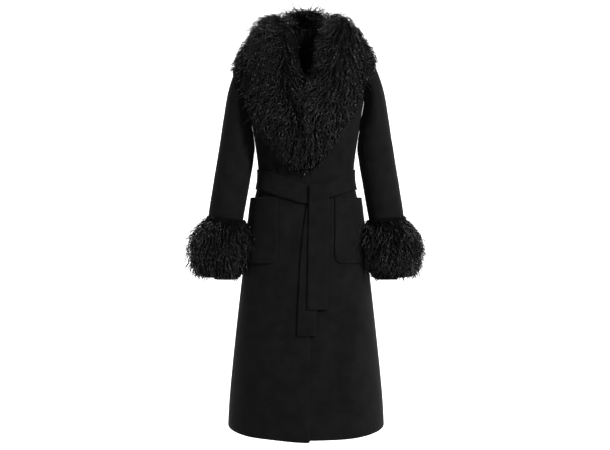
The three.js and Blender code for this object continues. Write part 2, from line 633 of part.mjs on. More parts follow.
// The way the pile stands, from wide steps along the rib, so that it turns gently at the neck.
function pileDirections(grid) {
  const rows = grid.length - 1;
  const columns = grid[0].length - 1;
  return grid.map((rib, r) =>
    rib.map((p, c) => {
      const along = rib[Math.min(columns, c + PILE_STEP)].clone().sub(rib[Math.max(0, c - PILE_STEP)]);
      const around = grid[Math.min(rows, r + 1)][c].clone().sub(grid[Math.max(0, r - 1)][c]);
      const out = along.cross(around).normalize();
      if (out.dot(vec(p.x, p.y, CORE / 2)) < 0) out.negate();
      if (r === 0 || r === rows) out.x = 0;
      return out.normalize();
    }),
  );
}

// At the neck the pile leans inwards at the seam and turns over the top as the rib runs out.
function leaned(out, rib, f) {
  const a = THREE.MathUtils.degToRad(mix(rib.rollAngle, rib.edgeAngle, f));
  const radial = vec(Math.sin(a), -Math.cos(a), 0);
  const end = Math.atan2(out.z, -out.dot(radial));
  const start = mix(end, ROLL_START, clamp(rib.lean, 0, 1));
  const turn = mix(start, end, smoothStep(0, ROLL_TURN, f));
  const sideways = out.clone().addScaledVector(radial, -out.dot(radial)).setZ(0);
  return sideways.addScaledVector(radial, -Math.cos(turn)).add(vec(0, 0, Math.sin(turn))).normalize();
}

// How far the fur stands off at a share of the rib. Over the shoulders it thins towards the sleeve.
function pileHeight(rib, f) {
  const round = Math.sqrt(1 - Math.abs(2 * f - 1) ** CROWN.square);
  const lapel = mix(rib.crest, CROWN.edge, f);
  const shoulder = mix(rib.crest, CROWN.sleeve, smoothStep(CROWN.from, CROWN.to, f));
  return COLLAR.edge + COLLAR.pile * round * mix(lapel, shoulder, clamp(rib.lean, 0, 1));
}

function furCollar(side) {
  const form = drapeForm();
  const ribs = collarRibs(side);
  const laid = relaxed(collarUnderside(ribs, form), 3);
  const out = pileDirections(laid);
  const under = sewn(settled(laid, out, form), ribs);
  const top = under.map((line, r) =>
    line.map((p, c) => {
      const f = COLLAR_STEPS[c];
      return p.clone().addScaledVector(leaned(out[r][c], ribs[r], f), pileHeight(ribs[r], f));
    }),
  );
  const part = (grid) =>
    grid.map((line, r) =>
      line.map((p) => {
        const end = r === 0 || r === grid.length - 1;
        return vec(side * Math.max(p.x, end ? SEAM_GAP / 2 : p.x), p.y, p.z);
      }),
    );
  return shellGeometry(part(top), part(under));
}

// ---- Pockets ----
function patchPocket(side) {
  const r = POCKET.radius;
  const heights = [0, 0.12, 0.45, 1].map((f) => POCKET.bottom + f * r);
  for (let k = 1; k <= POCKET_ROWS; k += 1) {
    heights.push(mix(POCKET.bottom + r, POCKET.top, k / POCKET_ROWS));
  }
  const layer = (out) =>
    heights.map((z) => {
      const low = Math.max(0, POCKET.bottom + r - z);
      const corner = r - Math.sqrt(r * r - low * low);
      const first = shareAt(-1, z, POCKET.inner + corner);
      const last = POCKET.outer - (corner / bodySection(-1, z).half) * (2 / Math.PI);
      return Array.from({ length: POCKET_COLUMNS + 1 }, (_, c) => {
        const f = c / POCKET_COLUMNS;
        const open = smoothStep(POCKET.top - MOUTH.depth, POCKET.top, z) * MOUTH.flare * f ** MOUTH.power;
        return bodyPoint(-1, side, mix(first, last, f), z, POCKET.lift + open + out);
      });
    });
  return mirroredShell(layer(WALL), layer(0), side);
}

// ---- Belt ----
// The belt's middle height and width where it passes x on the front. It sags to the knot.
function beltLine(x) {
  const half = x < BELT_RIGHT.from ? BELT_RIGHT : BELT_LEFT;
  const away = (x - half.from) * half.way;
  const z = mix(half.z, BELT.side, clamp(away / half.level, 0, 1));
  return { z, width: mix(half.width, BELT.width, clamp(away / half.widen, 0, 1)) };
}

// The band's places: out from the knot to the left side, round the back, and in from the right side.
function beltPlaces() {
  const out = Array.from({ length: BAND_STEPS + 1 }, (_, c) => c / BAND_STEPS);
  const back = out.toReversed();
  const quarter = (face, side, from, shares) => shares.map((f) => ({ face, side, from, f }));
  return [
    ...quarter(-1, LEFT, KNOT.left, out),
    ...quarter(1, LEFT, 0, back.slice(1)),
    ...quarter(1, RIGHT, 0, out.slice(1)),
    ...quarter(-1, RIGHT, KNOT.right, back.slice(1)),
  ];
}

function beltBand() {
  const layer = (out) =>
    beltPlaces().map(({ face, side, from, f }) => {
      const s = mix(shareAt(face, BELT.row, from), 1, f);
      const x = side * basePoint(face, s, BELT.row).x;
      const line = face < 0 ? beltLine(x) : { z: BELT.back, width: BELT.width };
      const near = face < 0 ? 1 - smoothStep(KNOT.near, KNOT.far, Math.abs(x - KNOT.x)) : 0;
      return BAND_ROWS.map((k) => {
        const off = BELT.lift + KNOT.lift * near + out;
        const p = bodyPoint(face, 1, s, line.z + k * line.width, off);
        return vec(p.x * side, p.y, p.z);
      });
    });
  return shellGeometry(layer(BELT.thick), layer(0));
}

function beltTail(rows) {
  const layer = (out) =>
    rows.map((row) =>
      TAIL_COLUMNS.map((k) => {
        const x = row.x + k * row.half;
        const p = bodyPoint(-1, 1, shareAt(-1, row.z, x), row.z, 0);
        return vec(x, p.y - row.off - out, row.z);
      }),
    );
  return shellGeometry(layer(BELT.thick), layer(0));
}

// ---- The coat ----
function piece(name, geometry, finish) {
  const mesh = new THREE.Mesh(geometry, new THREE.MeshStandardMaterial(finish));
  mesh.name = name;
  return mesh;
}

const coat = new THREE.Group();
coat.name = "belted_wool_coat";
coat.add(
  piece("front_right", frontPanel(RIGHT, RIGHT_EDGE, false), WOOL),
  piece("front_left", frontPanel(LEFT, LEFT_EDGE, true), WOOL),
  piece("back_right", backPanel(RIGHT), WOOL),
  piece("back_left", backPanel(LEFT), WOOL),
  piece("belt_band", beltBand(), WOOL),
  piece("belt_front_tail", beltTail(FRONT_TAIL), WOOL),
  piece("belt_back_tail", beltTail(BACK_TAIL), WOOL),
);
for (const [hand, side] of [["right", RIGHT], ["left", LEFT]]) {
  coat.add(
    piece(`sleeve_top_${hand}`, sleevePanel(side, false), WOOL),
    piece(`sleeve_under_${hand}`, sleevePanel(side, true), WOOL),
    piece(`neck_facing_${hand}`, neckFacing(side), WOOL),
    piece(`pocket_${hand}`, patchPocket(side), WOOL),
    piece(`fur_collar_${hand}`, furCollar(side), FUR),
    piece(`fur_cuff_${hand}`, furCuff(side), FUR),
  );
}

export default coat;
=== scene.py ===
"""A long belted wool coat with shaggy fur collar and cuffs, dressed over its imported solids.

Metres throughout. +Z is up, the front faces -Y and +X is the wearer's left.
"""

from __future__ import annotations

import logging
import math
from dataclasses import dataclass
from enum import Enum
from typing import Any

import bmesh
import bpy
import numpy as np
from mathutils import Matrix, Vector, noise
from mathutils.bvhtree import BVHTree

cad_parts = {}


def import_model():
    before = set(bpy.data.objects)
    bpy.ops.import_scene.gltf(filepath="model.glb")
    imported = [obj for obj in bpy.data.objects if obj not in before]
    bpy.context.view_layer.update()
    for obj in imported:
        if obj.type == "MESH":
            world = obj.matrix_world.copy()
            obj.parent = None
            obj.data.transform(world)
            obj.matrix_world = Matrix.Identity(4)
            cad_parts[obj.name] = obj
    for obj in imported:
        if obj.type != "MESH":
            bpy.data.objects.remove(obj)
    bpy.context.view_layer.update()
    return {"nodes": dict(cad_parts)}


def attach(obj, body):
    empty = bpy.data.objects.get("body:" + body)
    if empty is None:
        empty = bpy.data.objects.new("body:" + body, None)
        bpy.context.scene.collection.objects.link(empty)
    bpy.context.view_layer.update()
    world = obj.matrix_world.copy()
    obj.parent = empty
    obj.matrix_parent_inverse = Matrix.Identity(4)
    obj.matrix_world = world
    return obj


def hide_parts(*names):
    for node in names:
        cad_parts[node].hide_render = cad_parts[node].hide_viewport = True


LOG = logging.getLogger("coat")
MM = 0.001
HANDS = ("right", "left")


# ---- Small helpers ----


def mix(a: float, b: float, f: float) -> float:
    """A value between two others."""
    return a + (b - a) * f


def smooth_step(low: float, high: float, value: float) -> float:
    """Rises smoothly from 0 at low to 1 at high."""
    f = min(1.0, max(0.0, (value - low) / (high - low)))
    return f * f * (3.0 - 2.0 * f)


@dataclass(frozen=True)
class Ramp:
    """A smooth rise from 0 at one value to 1 at another, which may be the lower one."""

    start: float
    end: float

    def at(self, value: float) -> float:
        """How far up the ramp a value is."""
        return smooth_step(self.start, self.end, value)


@dataclass(frozen=True)
class Stretch:
    """The heights between which something holds, with a ramp at its top and at its bottom."""

    top: Ramp
    bottom: Ramp

    def share(self, z: float) -> float:
        """How much it holds at a height, from 0 to 1."""
        return self.top.at(z) * self.bottom.at(z)


# ---- Node trees ----


class NodePlan:
    """Adds nodes to a tree and joins them, by socket or by value."""

    def __init__(self, tree: bpy.types.NodeTree) -> None:
        """Keeps the tree that the nodes go into."""
        self.tree = tree

    def feed(self, socket: bpy.types.NodeSocket, value: Any) -> None:
        """Links a socket or a node's first output to an input, or sets its value.

        Args:
            socket: The input.
            value: A socket, a node or a plain value.
        """
        if isinstance(value, bpy.types.Node):
            value = value.outputs[0]
        if isinstance(value, bpy.types.NodeSocket):
            self.tree.links.new(value, socket)
        else:
            socket.default_value = value

    def add(self, kind: str, inputs: dict | None = None, **settings: Any) -> bpy.types.Node:
        """Makes one node.

        Args:
            kind: The node's type name.
            inputs: Input names or numbers, with a socket, node or value for each.
            **settings: The node's own properties.

        Returns:
            The new node.
        """
        node = self.tree.nodes.new(kind)
        for key, value in settings.items():
            setattr(node, key, value)
        for key, value in (inputs or {}).items():
            self.feed(node.inputs[key], value)
        return node

    def math(self, operation: str, a: Any, b: Any = 0.0, c: Any = 0.0) -> bpy.types.NodeSocket:
        """A number worked out from up to three others."""
        node = self.add("ShaderNodeMath", {0: a, 1: b, 2: c}, operation=operation)
        return node.outputs[0]

    def vector(self, operation: str, a: Any, b: Any = (0.0, 0.0, 0.0)) -> bpy.types.NodeSocket:
        """A vector worked out from two others, or a number for a dot product."""
        node = self.add("ShaderNodeVectorMath", {0: a, 1: b}, operation=operation)
        return node.outputs["Value" if operation == "DOT_PRODUCT" else "Vector"]

    def scaled(self, a: Any, by: Any) -> bpy.types.NodeSocket:
        """A vector times a number."""
        node = self.add("ShaderNodeVectorMath", {0: a, "Scale": by}, operation="SCALE")
        return node.outputs["Vector"]


def blank_material(name: str) -> tuple[bpy.types.Material, NodePlan]:
    """A material with no nodes yet, and the plan to add them with.

    Args:
        name: The finish's name.

    Returns:
        The material and the plan of its tree.
    """
    made = bpy.data.materials.new(name)
    made.use_nodes = True
    made.node_tree.nodes.clear()
    return made, NodePlan(made.node_tree)


# ---- Finishes ----


@dataclass(frozen=True)
class FeltedWool:
    """Matte double-faced wool with a short raised nap."""

    name: str = "felted_wool"
    colour: tuple[float, float, float] = (0.0034, 0.0034, 0.0036)
    fleck: tuple[float, float, float] = (0.0078, 0.0078, 0.0082)

    def material(self) -> bpy.types.Material:
        """Builds the material on Object coordinates.

        Returns:
            The new material.
        """
        made, plan = blank_material(self.name)
        place = plan.add("ShaderNodeTexCoord").outputs["Object"]
        nap = plan.add("ShaderNodeTexNoise", {"Vector": place, "Scale": 700.0, "Detail": 3.0})
        cloud = plan.add("ShaderNodeTexNoise", {"Vector": place, "Scale": 28.0, "Detail": 4.0})
        blend = plan.math("MULTIPLY", nap.outputs[0], cloud.outputs[0])
        shade = plan.add("ShaderNodeMapRange", {0: blend, 1: 0.15, 2: 0.4})
        colour = plan.add("ShaderNodeMix", data_type="RGBA")
        plan.feed(colour.inputs[0], shade)
        plan.feed(colour.inputs[6], (*self.colour, 1.0))
        plan.feed(colour.inputs[7], (*self.fleck, 1.0))
        bump = plan.add("ShaderNodeBump", {"Strength": 0.35, "Distance": 0.0006, "Height": nap})
        shader = plan.add(
            "ShaderNodeBsdfPrincipled",
            {
                "Base Color": colour.outputs[2],
                "Roughness": 0.92,
                "Specular IOR Level": 0.12,
                "Sheen Weight": 0.028,
                "Sheen Roughness": 0.5,
                "Normal": bump,
            },
        )
        plan.add("ShaderNodeOutputMaterial", {"Surface": shader})
        return made


@dataclass(frozen=True)
class CurlyFur:
    """Long crimped black hair with soft highlights."""

    name: str = "curly_fur"
    dark: tuple[float, float, float] = (0.0003, 0.0003, 0.0004)
    light: tuple[float, float, float] = (0.0024, 0.0024, 0.0026)

    def material(self) -> bpy.types.Material:
        """Builds the material, with each lock's own tone.

        Returns:
            The new material.
        """
        made, plan = blank_material(self.name)
        tone = plan.add("ShaderNodeAttribute", attribute_name="tone").outputs["Fac"]
        colour = plan.add("ShaderNodeMix", data_type="RGBA")
        plan.feed(colour.inputs[0], tone)
        plan.feed(colour.inputs[6], (*self.dark, 1.0))
        plan.feed(colour.inputs[7], (*self.light, 1.0))
        shader = plan.add(
            "ShaderNodeBsdfPrincipled",
            {"Base Color": colour.outputs[2], "Roughness": 0.25, "Specular IOR Level": 0.48},
        )
        plan.add("ShaderNodeOutputMaterial", {"Surface": shader})
        return made


@dataclass(frozen=True)
class Pelt:
    """The dense dark undercoat at the roots of the fur."""

    name: str = "pelt"
    colour: tuple[float, float, float] = (0.0008, 0.0008, 0.0009)

    def material(self) -> bpy.types.Material:
        """Builds the material on Object coordinates.

        Returns:
            The new material.
        """
        made, plan = blank_material(self.name)
        place = plan.add("ShaderNodeTexCoord").outputs["Object"]
        tuft = plan.add("ShaderNodeTexNoise", {"Vector": place, "Scale": 260.0, "Detail": 3.0})
        bump = plan.add("ShaderNodeBump", {"Strength": 0.8, "Distance": 0.003, "Height": tuft})
        shader = plan.add(
            "ShaderNodeBsdfPrincipled",
            {
                "Base Color": (*self.colour, 1.0),
                "Roughness": 0.9,
                "Specular IOR Level": 0.1,
                "Normal": bump,
            },
        )
        plan.add("ShaderNodeOutputMaterial", {"Surface": shader})
        return made


# ---- Meshes ----

# Corners closer than this are one, in metres, and triangles pair up within these angles.
SAME_PLACE = 1e-6
PAIR_BEND = math.radians(40)
PAIR_SKEW = math.radians(60)


def merged(node: bpy.types.Object) -> bmesh.types.BMesh:
    """A CAD node's surface with its corners joined and its triangles paired into quads.

    Args:
        node: The CAD node, which is left alone.

    Returns:
        A new mesh, which the caller frees.
    """
    made = bmesh.new()
    made.from_mesh(node.data)
    bmesh.ops.remove_doubles(made, verts=made.verts, dist=SAME_PLACE)
    bmesh.ops.join_triangles(
        made,
        faces=made.faces,
        angle_face_threshold=PAIR_BEND,
        angle_shape_threshold=PAIR_SKEW,
    )
    return made


def baked(obj: bpy.types.Object) -> bpy.types.Object:
    """Puts an object's modifiers into its mesh and takes them off.

    Args:
        obj: The piece, with its modifiers.

    Returns:
        The same piece, as a plain mesh.
    """
    bpy.context.view_layer.update()
    graph = bpy.context.evaluated_depsgraph_get()
    mesh = bpy.data.meshes.new_from_object(obj.evaluated_get(graph))
    obj.modifiers.clear()
    obj.data = mesh
    return obj


def placed(name: str, mesh: bpy.types.Mesh) -> bpy.types.Object:
    """A new object at the origin that shows a mesh.

    Args:
        name: The object's name.
        mesh: What it shows.

    Returns:
        The new object.
    """
    obj = bpy.data.objects.new(name, mesh)
    bpy.context.scene.collection.objects.link(obj)
    return obj


def smooth_rounded(obj: bpy.types.Object, levels: int) -> bpy.types.Object:
    """Subdivides a wall and keeps its edges, then shades it smooth.

    Args:
        obj: The piece.
        levels: How often it is subdivided.

    Returns:
        The same piece.
    """
    finish = obj.modifiers.new("subdivision", "SUBSURF")
    finish.levels = levels
    finish.render_levels = levels
    baked(obj)
    obj.data.shade_smooth()
    return obj


def surface_of(pieces: list[bpy.types.Object]) -> BVHTree:
    """Gathers the faces of some pieces, so that what lies near a place can be found.

    Args:
        pieces: The pieces, each at the origin.

    Returns:
        One search tree of all their faces.
    """
    corners, faces = [], []
    for piece in pieces:
        start = len(corners)
        corners += [v.co.copy() for v in piece.data.vertices]
        faces += [[start + i for i in p.vertices] for p in piece.data.polygons]
    return BVHTree.FromPolygons(corners, faces)


# ---- Wool ----


class Face(Enum):
    """The side of the coat that a fold is on, as the sign of its Y."""

    FRONT = -1
    BACK = 1


@dataclass(frozen=True)
class Fold:
    """One soft trough (below 0) or ridge (above 0) down the cloth, in millimetres."""

    face: Face
    x: float
    top: float
    bottom: float
    width: float
    depth: float
    slant: float = 0.0
    longest_fade: float = 45.0
    fade_share: float = 0.45

    def reach(self, x: float, z: float) -> float:
        """How far the fold pushes the cloth out at a place, in millimetres.

        Args:
            x: How far to the wearer's left the place is.
            z: Its height.

        Returns:
            The push, above 0 for a ridge.
        """
        middle = self.x + self.slant * ((self.top + self.bottom) / 2 - z)
        across = math.exp(-(((x - middle) / self.width) ** 2))
        fade = min(self.longest_fade, self.fade_share * (self.top - self.bottom))
        upper = smooth_step(self.top, self.top - fade, z)
        lower = smooth_step(self.bottom, self.bottom + fade, z)
        return self.depth * across * upper * lower


@dataclass(frozen=True)
class SleeveFold:
    """One crease part of the way round a sleeve, with its turn from the outer side in degrees."""

    turn: float
    z: float
    width: float
    depth: float
    spread: float
    slant: float = 0.0

    def reach(self, turn: float, z: float) -> float:
        """How far the crease pushes the cloth out at a place, in millimetres.

        Args:
            turn: The place's turn from the outer side in degrees.
            z: Its height.

        Returns:
            The push, above 0 for a ridge.
        """
        away = (turn - self.turn + 180.0) % 360.0 - 180.0
        along = math.exp(-(((z - self.z - self.slant * away) / self.width) ** 2))
        return self.depth * along * math.exp(-((away / self.spread) ** 2))


BODY_FOLDS = (
    Fold(Face.FRONT, -85, -362, -462, 6.0, -9.0, 0.10),
    Fold(Face.FRONT, -98, -370, -452, 8, 3.0, 0.08),
    Fold(Face.FRONT, -122, -376, -450, 8, -2.0, -0.1),
    Fold(Face.FRONT, 88, -368, -460, 8, -5.5, -0.06),
    Fold(Face.FRONT, 103, -380, -450, 8, 2.0),
    Fold(Face.FRONT, 118, -368, -448, 8, -3.0, 0.05),
    Fold(Face.FRONT, 74, -500, -650, 20, 3.5),
    Fold(Face.FRONT, -40, -500, -700, 18, -3.0, 0.06),
    Fold(Face.FRONT, -66, -505, -640, 14, 2.5, 0.1),
    Fold(Face.FRONT, 122, -850, -1090, 24, 4.0, 0.04),
    Fold(Face.FRONT, 88, -820, -1120, 16, -2.5, 0.03),
    Fold(Face.FRONT, -112, -860, -1150, 26, 3.0),
    Fold(Face.FRONT, -60, -780, -1120, 22, -3.0, -0.03),
    Fold(Face.BACK, -70, -370, -452, 6, -5.5, 0.08),
    Fold(Face.BACK, -86, -374, -450, 9, 2.5, 0.06),
    Fold(Face.BACK, 58, -368, -450, 7, -4.5, -0.06),
    Fold(Face.BACK, 106, -374, -448, 9, -3.0),
    Fold(Face.BACK, 34, -500, -680, 18, 3.0, 0.04),
    Fold(Face.BACK, -50, -504, -700, 20, -3.2, -0.05),
    Fold(Face.BACK, 98, -820, -1110, 26, 3.6),
    Fold(Face.BACK, -128, -860, -1130, 24, -3.4, 0.04),
)
SLEEVE_FOLDS = (
    SleeveFold(-125, -298, 9, -3.6, 45, 0.25),
    SleeveFold(-112, -326, 10, 2.4, 40, 0.2),
    SleeveFold(-130, -398, 9, -3.4, 50, -0.2),
    SleeveFold(-118, -428, 11, 2.6, 45, -0.25),
    SleeveFold(-60, -452, 12, -2.2, 34, 0.35),
    SleeveFold(-75, -520, 14, 2.2, 40, 0.2),
    SleeveFold(118, -352, 10, -3.6, 45, 0.2),
    SleeveFold(128, -386, 11, 2.8, 42, 0.15),
    SleeveFold(108, -438, 11, -3.0, 44, -0.25),
    SleeveFold(70, -500, 14, 2.0, 40, -0.2),
)


@dataclass(frozen=True)
class BodyDrape:
    """How the cloth of the coat's body lies, in millimetres. The belt presses it flat."""

    flatness: float = 1.9
    side: Ramp = Ramp(0.0, 35.0)
    under_belt: Stretch = Stretch(Ramp(-412.0, -424.0), Ramp(-517.0, -505.0))
    ripple: float = 0.55
    ripple_width: float = 62.0

    def push(self, p: Vector, belt: bool) -> tuple[float, Vector]:
        """How far the folds move the body's cloth at a place, and which way.

        Args:
            p: The place, in metres.
            belt: Whether the cloth is the belt's own.

        Returns:
            The push in metres and its direction.
        """
        x, y, z = p / MM
        face = Face.FRONT if y < 0 else Face.BACK
        away = Vector((x / self.flatness, y, 0.0)).normalized()
        push = sum(fold.reach(x, z) for fold in BODY_FOLDS if fold.face is face)
        free = 1.0 - self.under_belt.share(z)
        if belt or push > 0:
            push *= free
        push += self.ripple * noise.noise(Vector((x, y, z)) / self.ripple_width) * free
        return push * self.side.at(abs(y)) * MM, away


@dataclass(frozen=True)
class SleeveDrape:
    """How the cloth of the sleeves lies, in millimetres, round a middle that bends with the arm.

    The inner side is moved out by the clearance, so that it keeps off the body.
    """

    heights: tuple[float, ...] = (-600.0, -400.0, -240.0)
    middles: tuple[float, ...] = (234.0, 203.0, 198.0)
    depths: tuple[float, ...] = (-38.0, -15.0, -2.0)
    half_width: float = 50.0
    half_depth: float = 62.0
    stagger: float = 6.0
    ripple: float = 0.7
    ripple_width: float = 48.0
    creased: Stretch = Stretch(Ramp(-250.0, -290.0), Ramp(-590.0, -550.0))
    clearance: float = 3.4
    cleared: Stretch = Stretch(Ramp(-205.0, -245.0), Ramp(-410.0, -355.0))
    narrowing: int = 4

    def push(self, p: Vector) -> tuple[float, Vector]:
        """How far the creases move a sleeve's cloth at a place, and which way.

        Args:
            p: The place, in metres.

        Returns:
            The push in metres and its direction.
        """
        x, y, z = p / MM
        side = 1.0 if x > 0 else -1.0
        middle = np.interp(z, self.heights, self.middles)
        depth = np.interp(z, self.heights, self.depths)
        out = Vector((side * x - middle, y - depth, 0.0))
        turn = math.degrees(math.atan2(out.y / self.half_depth, out.x / self.half_width))
        push = sum(fold.reach(turn, z + side * self.stagger) for fold in SLEEVE_FOLDS)
        push += self.ripple * noise.noise(Vector((x, y, z)) / self.ripple_width)
        push *= self.creased.share(z)
        inner = max(0.0, -math.cos(math.radians(turn))) ** self.narrowing
        push += self.clearance * inner * self.cleared.share(z)
        return push * MM, Vector((side * out.x, out.y, 0.0)).normalized()


@dataclass
class Topstitching:
    """A row of stitches a little inside a piece's edges.

    Of a front it follows only the upright edge near the middle, from the belt down.
    """

    thread: bpy.types.Material
    inset: float = 6 * MM
    step: float = 5 * MM
    length: float = 3.4 * MM
    pitch: float = 4.8 * MM
    thick: float = 0.45 * MM
    proud: float = 0.1
    weld: float = 0.2 * MM
    sides: int = 6
    sharpest: float = 0.5
    front_turn: float = 0.6
    front_reach: float = 0.03
    front_top: float = -0.43

    def edges(self, node: bpy.types.Object, rim: float) -> list[tuple[Vector, Vector]]:
        """The straight runs inside the outer face's edges, corners mitred.

        Args:
            node: The CAD node whose edges are followed.
            rim: The longest short side of a face on the wall's rim.

        Returns:
            Each run's two ends.
        """
        made = merged(node)
        made.normal_update()
        rims = {f.index for f in made.faces if min(e.calc_length() for e in f.edges) < rim}
        inward, runs = {}, []
        for edge in made.edges:
            broad = [f for f in edge.link_faces if f.index not in rims]
            if len(broad) != 1 or len(edge.link_faces) != 2:
                continue
            middle = (edge.verts[0].co + edge.verts[1].co) / 2
            normal = broad[0].normal
            if normal.x * middle.x + normal.y * middle.y <= 0.0:
                continue
            along = (edge.verts[1].co - edge.verts[0].co).normalized()
            into = broad[0].calc_center_median() - middle
            into = (into - along * into.dot(along)).normalized()
            if node.name.startswith("front_") and abs(into.x) < self.front_turn:
                continue
            for vertex in edge.verts:
                inward.setdefault(vertex.index, []).append(into)
            runs.append((edge.verts[0].index, edge.verts[1].index))
        made.verts.ensure_lookup_table()
        places = {}
        for index, ways in inward.items():
            total = sum(ways, Vector())
            share = 1.0 + (ways[0].dot(ways[1]) if len(ways) > 1 else 0.0)
            places[index] = made.verts[index].co + total * (self.inset / max(self.sharpest, share))
        made.free()
        found = [(places[a], places[b]) for a, b in runs]
        if node.name.startswith("front_"):
            near = [(a, b) for a, b in found if max(abs(a.x), abs(b.x)) < self.front_reach]
            found = [(a, b) for a, b in near if a.z < self.front_top]
        return found

    def sew(self, node: bpy.types.Object, cloth: bpy.types.Object, rim: float) -> bpy.types.Object:
        """Sews round one piece of cloth.

        Args:
            node: The CAD node whose edges are followed.
            cloth: The finished piece that the stitches lie on.
            rim: The longest short side of a face on the wall's rim.

        Returns:
            The stitches, as one piece.
        """
        surface = surface_of([cloth])
        corners, joins = [], []
        for a, b in self.edges(node, rim):
            count = max(1, round((b - a).length / self.step))
            for k in range(count + 1):
                near, normal, _, _ = surface.find_nearest(a.lerp(b, k / count))
                corners.append(near + normal * self.proud * self.thick)
                if k:
                    joins.append((len(corners) - 2, len(corners) - 1))
        mesh = bpy.data.meshes.new(node.name + "_stitches")
        mesh.from_pydata(corners, joins, [])
        path = placed(node.name + "_stitches", mesh)
        weld = path.modifiers.new("weld", "WELD")
        weld.merge_threshold = self.weld
        grow = path.modifiers.new("stitches", "NODES")
        grow.node_group = self.tree()
        baked(path)
        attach(path, "root")
        return path

    def tree(self) -> bpy.types.NodeTree:
        """The Geometry Nodes that set stitches along a path.

        Returns:
            The new tree, with its sizes as inputs.
        """
        tree = bpy.data.node_groups.new("topstitching", "GeometryNodeTree")
        tree.interface.new_socket("Geometry", in_out="INPUT", socket_type="NodeSocketGeometry")
        sizes = (("Length", self.length), ("Pitch", self.pitch), ("Thickness", self.thick))
        for name, value in sizes:
            socket = tree.interface.new_socket(name, in_out="INPUT", socket_type="NodeSocketFloat")
            socket.default_value = value
        tree.interface.new_socket("Geometry", in_out="OUTPUT", socket_type="NodeSocketGeometry")
        plan = NodePlan(tree)
        given = plan.add("NodeGroupInput").outputs
        curve = plan.add("GeometryNodeMeshToCurve", {"Mesh": given["Geometry"]})
        spaced = plan.add(
            "GeometryNodeResampleCurve", {"Curve": curve, "Length": given["Pitch"]}, mode="LENGTH"
        )
        stitch = plan.add(
            "GeometryNodeMeshCylinder",
            {"Vertices": self.sides, "Radius": given["Thickness"], "Depth": given["Length"]},
        )
        way = plan.add("GeometryNodeInputTangent")
        turn = plan.add("FunctionNodeAlignRotationToVector", {"Vector": way}, axis="Z")
        sewn = plan.add(
            "GeometryNodeInstanceOnPoints",
            {"Points": spaced, "Instance": stitch.outputs["Mesh"], "Rotation": turn},
        )
        real = plan.add("GeometryNodeRealizeInstances", {0: sewn})
        done = plan.add("GeometryNodeSetMaterial", {"Geometry": real, "Material": self.thread})
        plan.add("NodeGroupOutput", {0: done})
        return tree


class Held(Enum):
    """How a piece of cloth is held up."""

    HUNG = "hung"
    LAID = "laid"


@dataclass(frozen=True)
class Cut:
    """A piece's flat pattern in metres, how it is held, and what it lies on or hangs from."""

    width: float
    length: float
    area: float
    held: Held
    on: tuple[str, ...] = ()
    sewn: bool = False


BODY_PANELS = ("front_right", "front_left", "back_right", "back_left")
CUTS = {
    "front_right": Cut(0.33, 1.19, 0.2713, Held.HUNG, sewn=True),
    "front_left": Cut(0.375, 1.19, 0.3075, Held.HUNG),
    "back_right": Cut(0.32, 1.19, 0.2773, Held.HUNG),
    "back_left": Cut(0.32, 1.19, 0.2783, Held.HUNG),
    "sleeve_top_right": Cut(0.3, 0.7, 0.1483, Held.HUNG, ("front_right", "back_right")),
    "sleeve_top_left": Cut(0.3, 0.7, 0.1483, Held.HUNG, ("front_left", "back_left")),
    "sleeve_under_right": Cut(0.12, 0.55, 0.0551, Held.HUNG, ("front_right", "back_right")),
    "sleeve_under_left": Cut(0.12, 0.55, 0.0551, Held.HUNG, ("front_left", "back_left")),
    "neck_facing_right": Cut(0.105, 0.08, 0.0065, Held.HUNG, ("back_right",)),
    "neck_facing_left": Cut(0.105, 0.08, 0.0065, Held.HUNG, ("back_left",)),
    "pocket_right": Cut(0.155, 0.186, 0.0273, Held.LAID, ("front_right",), True),
    "pocket_left": Cut(0.155, 0.186, 0.0273, Held.LAID, ("front_left",), True),
    "belt_band": Cut(0.058, 0.8, 0.0441, Held.LAID, BODY_PANELS),
    "belt_front_tail": Cut(0.055, 0.345, 0.01856, Held.HUNG, ("belt_band",), True),
    "belt_back_tail": Cut(0.053, 0.349, 0.0182, Held.HUNG, ("belt_band",), True),
}


